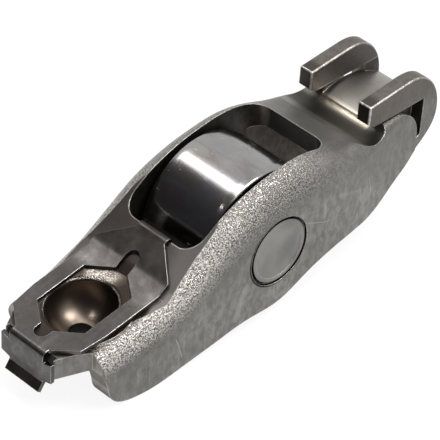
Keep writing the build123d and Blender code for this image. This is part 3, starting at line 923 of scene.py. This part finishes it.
rollerFinish = dict(
    ground=(0.345, 0.332, 0.318, 1.0),
    groundBlue=(0.285, 0.282, 0.290, 1.0),
    smudge=(0.225, 0.195, 0.178, 1.0),
    scuff=(0.62, 0.60, 0.60, 1.0),
    rough=(0.17, 0.27),             # on clean steel, and on marks
    scuffRough=0.62,
    smudgeScale=620.0,
    smudges=(0.42, 0.68),
    hairScale=5200.0,
    hairs=(0.66, 0.72),
    breakScale=520.0,
    breaks=(0.52, 0.62),
    scratchHeight=0.08,             # share of the shared scratches' height
)


def paintRoller():
    f = rollerFinish
    material, tree, shader = newMaterial("rollerSteel")
    place = objectPlace(tree)
    film = useGroup(tree, handlingFilm, Size=0.0032, Seed=7.7)
    scratches = useGroup(tree, fineScratches, Stretch=(300.0, 1600.0, 300.0), Turn=(0.0, 0.0, 0.0))
    base = mixColour(tree, film["Cloud"], f["ground"], f["groundBlue"])
    streaked = noise(tree, mapped(tree, place, scale=(1.0, 0.35, 1.0)), f["smudgeScale"], 4.0, 0.6, 0.8)
    base = mixColour(tree, times(tree, ramp(tree, streaked, *f["smudges"]), 0.55), base, f["smudge"])
    # short fine scuffs, which catch the light where the tread mirrors the dark
    turned = mapped(tree, place, rotation=(0.5, 0.3, 0.2), scale=(1.0, 0.12, 0.3))
    hairs = noise(tree, turned, f["hairScale"], 2.0, 0.55, 0.6)
    broken = noise(tree, place, f["breakScale"], 2.0, 0.5)
    scuffs = times(tree, ramp(tree, hairs, *f["hairs"]), ramp(tree, broken, *f["breaks"]))
    base = mixColour(tree, times(tree, scuffs, 0.6), base, f["scuff"])
    rough = mixValue(tree, film["Marks"], *f["rough"])
    rough = mixValue(tree, scuffs, rough, f["scuffRough"])
    finishSteel(tree, shader, base, rough, times(tree, scratches["Height"], f["scratchHeight"]), None)
    return material


rollerShape = dict(
    radius=0.00775,
    half=0.0045,
    rim=0.00042,                    # rounding at the tread's edges
    bevel=(0.00028, 0.00008),       # shallow bevel ahead of the rounding: length along the axle, and drop
    crown=0.000006,                 # the tread falls away this much at its ends
    bore=0.00516,
    boreChamfer=0.00025,
    recess=0.00012,                 # ground relief of the end faces
    recessRadii=(0.0058, 0.0069),
    recessSlope=0.0001,             # half the width of the relief's sloping sides
    treadPoints=25,
    rimPoints=9,
    around=256,
    sharpAngle=40,                  # degrees
)


def rollerProfile():
    # (radius, y) from one end of the bore round the outside to the other end
    p = rollerShape
    length, drop = p["bevel"]
    half, recess, slope = p["half"], p["recess"], p["recessSlope"]
    tread = half - p["rim"] - length
    along = np.linspace(-1.0, 1.0, p["treadPoints"])
    treadY = along * tread
    treadR = p["radius"] - p["crown"] * along ** 2
    turn = np.linspace(0.0, pi / 2, p["rimPoints"])
    rimR = p["radius"] - p["crown"] - drop - p["rim"] * (1 - np.cos(turn))
    rimY = tread + length + p["rim"] * np.sin(turn)
    inner, outer = p["recessRadii"]
    face = np.array([
        (outer + slope, half),
        (outer - slope, half - recess),
        (inner + slope, half - recess),
        (inner - slope, half),
        (p["bore"] + p["boreChamfer"], half),
        (p["bore"], half - p["boreChamfer"]),
    ])
    sideR = np.concatenate([rimR, face[:, 0]])
    sideY = np.concatenate([rimY, face[:, 1]])
    r = np.concatenate([sideR[::-1], treadR, sideR])
    y = np.concatenate([-sideY[::-1], treadY, sideY])
    return r, y


def addObject(name, data):
    obj = bpy.data.objects.new(name, data)
    bpy.context.scene.collection.objects.link(obj)
    return obj


def buildRoller():
    # lathe surface: the closed profile carried round the Y axis, point (r cos a, y, r sin a)
    r, y = rollerProfile()
    rings = rollerShape["around"]
    angle = np.linspace(0.0, 2 * pi, rings, endpoint=False)
    x, z = np.outer(np.cos(angle), r), np.outer(np.sin(angle), r)
    points = np.stack([x, np.tile(y, (rings, 1)), z], axis=-1)
    count = len(r)
    i, j = np.meshgrid(np.arange(rings), np.arange(count), indexing="ij")
    nextI = (i + 1) % rings
    nextJ = (j + 1) % count
    corners = [i * count + j, i * count + nextJ, nextI * count + nextJ, nextI * count + j]
    faces = np.stack(corners, axis=-1)
    mesh = bpy.data.meshes.new("rollerTread")
    mesh.from_pydata(points.reshape(-1, 3).tolist(), [], faces.reshape(-1, 4).tolist())
    mesh.shade_smooth()
    mesh.set_sharp_from_angle(angle=radians(rollerShape["sharpAngle"]))
    return addObject("rollerTread", mesh)


def dress(obj, material):
    obj.data.materials.clear()
    obj.data.materials.append(material)


bodySteel = paintBody()
clipSteel = paintClip()
axleSteel = paintAxle()
rollerSteel = paintRoller()
dress(nodes["body"], bodySteel)
dress(nodes["retaining_clip"], clipSteel)
dress(nodes["roller_axle"], axleSteel)
roller = buildRoller()
dress(roller, rollerSteel)
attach(roller, "roller")
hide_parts("cam_roller")
for name, node in nodes.items():
    if name.startswith("needle_"):
        dress(node, rollerSteel)
print("CAD nodes dressed")


# studio: pale floor, two overhead strips, a softbox, a small lamp for the bowl, a dark flag ahead of the nose

studio = dict(
    floorSize=3.0,
    floorColour=(0.86, 0.86, 0.86, 1.0),
    floorGlow=0.9,                  # share of white light the floor shows to the camera and to reflections
    flagColour=(0.012, 0.012, 0.016, 1.0),
    flagX=-0.10,
    flagY=(-0.5, 1.2),
    flagZ=(-0.0075, 0.62),
    matt=0.9,
    stripHeight=0.42,
    stripSize=(0.100, 0.80),
    stripPlace=(-0.009, 0.06),
    stripWatts=1.36,
    edgeSize=(0.028, 0.80),         # a weaker strip beside it softens the highlight's lower edge
    edgePlace=(-0.073, 0.06),
    edgeWatts=0.15,
    softHeight=0.40,
    softSize=(0.17, 0.19),
    softPlace=(0.125, -0.205),
    softWatts=1.62,
    bowlLampSize=(0.019, 0.023),    # close by and inside the flag, aimed at the bowl
    bowlLampPlace=(-0.067, 0.0244, 0.0746),
    bowlLampWatts=0.00021,
    bowlLampSpread=9,               # degrees: a gridded lamp, so that the roller does not mirror it
    worldLevel=0.8,
)


def seenRays(tree):
    # 1 for what the camera sees, straight, mirrored or through glass, and 0 for what only lights
    path = tree.nodes.new("ShaderNodeLightPath").outputs
    seen = larger(tree, path["Is Camera Ray"], path["Is Glossy Ray"])
    return larger(tree, seen, path["Is Transmission Ray"])


def buildFloor():
    size = studio["floorSize"] / 2
    drop = cadBox[0][2]
    corners = [(-size, -size, drop), (size, -size, drop), (size, size, drop), (-size, size, drop)]
    mesh = bpy.data.meshes.new("floor")
    mesh.from_pydata(corners, [], [(0, 1, 2, 3)])
    floor = addObject("floor", mesh)
    material, tree, shader = newMaterial("floorPaper")
    shader.inputs["Base Color"].default_value = studio["floorColour"]
    shader.inputs["Roughness"].default_value = studio["matt"]
    shader.inputs["Specular IOR Level"].default_value = 0.1
    glow = tree.nodes.new("ShaderNodeEmission")
    glow.inputs["Strength"].default_value = 1.0
    shows = seenRays(tree)
    blend = tree.nodes.new("ShaderNodeMixShader")
    feed(tree, blend.inputs[0], times(tree, shows, studio["floorGlow"]))
    tree.links.new(shader.outputs["BSDF"], blend.inputs[1])
    tree.links.new(glow.outputs["Emission"], blend.inputs[2])
    output = [n for n in tree.nodes if n.type == "OUTPUT_MATERIAL"][0]
    tree.links.new(blend.outputs[0], output.inputs["Surface"])
    mesh.materials.append(material)


def buildFlag():
    # a matt black card, which only reflections see
    x = studio["flagX"]
    near, far = studio["flagY"]
    low, high = studio["flagZ"]
    mesh = bpy.data.meshes.new("noseFlag")
    mesh.from_pydata([(x, near, low), (x, far, low), (x, far, high), (x, near, high)], [], [(0, 1, 2, 3)])
    flag = addObject("noseFlag", mesh)
    material, tree, shader = newMaterial("noseFlagCloth")
    shader.inputs["Base Color"].default_value = studio["flagColour"]
    shader.inputs["Roughness"].default_value = studio["matt"]
    mesh.materials.append(material)
    flag.visible_camera = False
    flag.visible_diffuse = False
    flag.visible_shadow = False


def buildLamp(name, place, target, size, watts, spread=pi):
    data = bpy.data.lights.new(name, "AREA")
    data.shape = "RECTANGLE"
    data.size, data.size_y = size
    data.energy = watts
    data.spread = spread
    lamp = addObject(name, data)
    lamp.location = place
    lamp.visible_camera = False
    lamp.rotation_euler = (Vector(target) - Vector(place)).to_track_quat("-Z", "Y").to_euler()


def buildWorld():
    world = bpy.data.worlds.new("studioWorld")
    bpy.context.scene.world = world
    world.use_nodes = True
    tree = world.node_tree
    tree.nodes.clear()
    output = tree.nodes.new("ShaderNodeOutputWorld")
    background = tree.nodes.new("ShaderNodeBackground")
    seen = seenRays(tree)
    feed(tree, background.inputs["Color"], (1.0, 1.0, 1.0, 1.0))
    feed(tree, background.inputs["Strength"], mixValue(tree, seen, studio["worldLevel"], 1.0))
    tree.links.new(background.outputs[0], output.inputs["Surface"])


def buildStudio():
    buildFloor()
    buildWorld()
    high = studio["stripHeight"]
    x, y = studio["stripPlace"]
    buildLamp("overheadStrip", (x, y, high), (x, y, 0.0), studio["stripSize"], studio["stripWatts"])
    x, y = studio["edgePlace"]
    buildLamp("stripEdge", (x, y, high), (x, y, 0.0), studio["edgeSize"], studio["edgeWatts"])
    softPlace = (*studio["softPlace"], studio["softHeight"])
    buildLamp("nearSoftbox", softPlace, (0.0, 0.0, 0.0), studio["softSize"], studio["softWatts"])
    buildLamp(
        "bowlLamp",
        studio["bowlLampPlace"],
        bodyFinish["pivot"],
        studio["bowlLampSize"],
        studio["bowlLampWatts"],
        radians(studio["bowlLampSpread"]),
    )
    buildFlag()


buildStudio()
print("studio built")


# camera

cameraView = dict(
    place=(-0.170868, -0.164048, 0.187067),
    azimuth=43.996,
    drop=38.377,                    # degrees below level
    roll=2.625,
    focal=3022.4,                   # in pixels of a picture of the width below
    pictureWidth=440,
    sensorWidth=36.0,               # mm
    clip=(0.005, 20.0),
)


def buildCamera():
    v = cameraView
    data = bpy.data.cameras.new("camera")
    data.sensor_fit = "HORIZONTAL"
    data.sensor_width = v["sensorWidth"]
    data.lens = v["sensorWidth"] * v["focal"] / v["pictureWidth"]
    data.clip_start, data.clip_end = v["clip"]
    camera = addObject("camera", data)
    azimuth, drop = radians(v["azimuth"]), radians(v["drop"])
    look = Vector((cos(drop) * cos(azimuth), cos(drop) * sin(azimuth), -sin(drop)))
    level = look.to_track_quat("-Z", "Y").to_matrix()
    turn = Matrix.Rotation(-radians(v["roll"]), 3, look)
    camera.matrix_world = Matrix.Translation(v["place"]) @ (turn @ level).to_4x4()
    bpy.context.scene.camera = camera


buildCamera()
bpy.context.scene.view_settings.view_transform = "Standard"
bpy.context.view_layer.update()
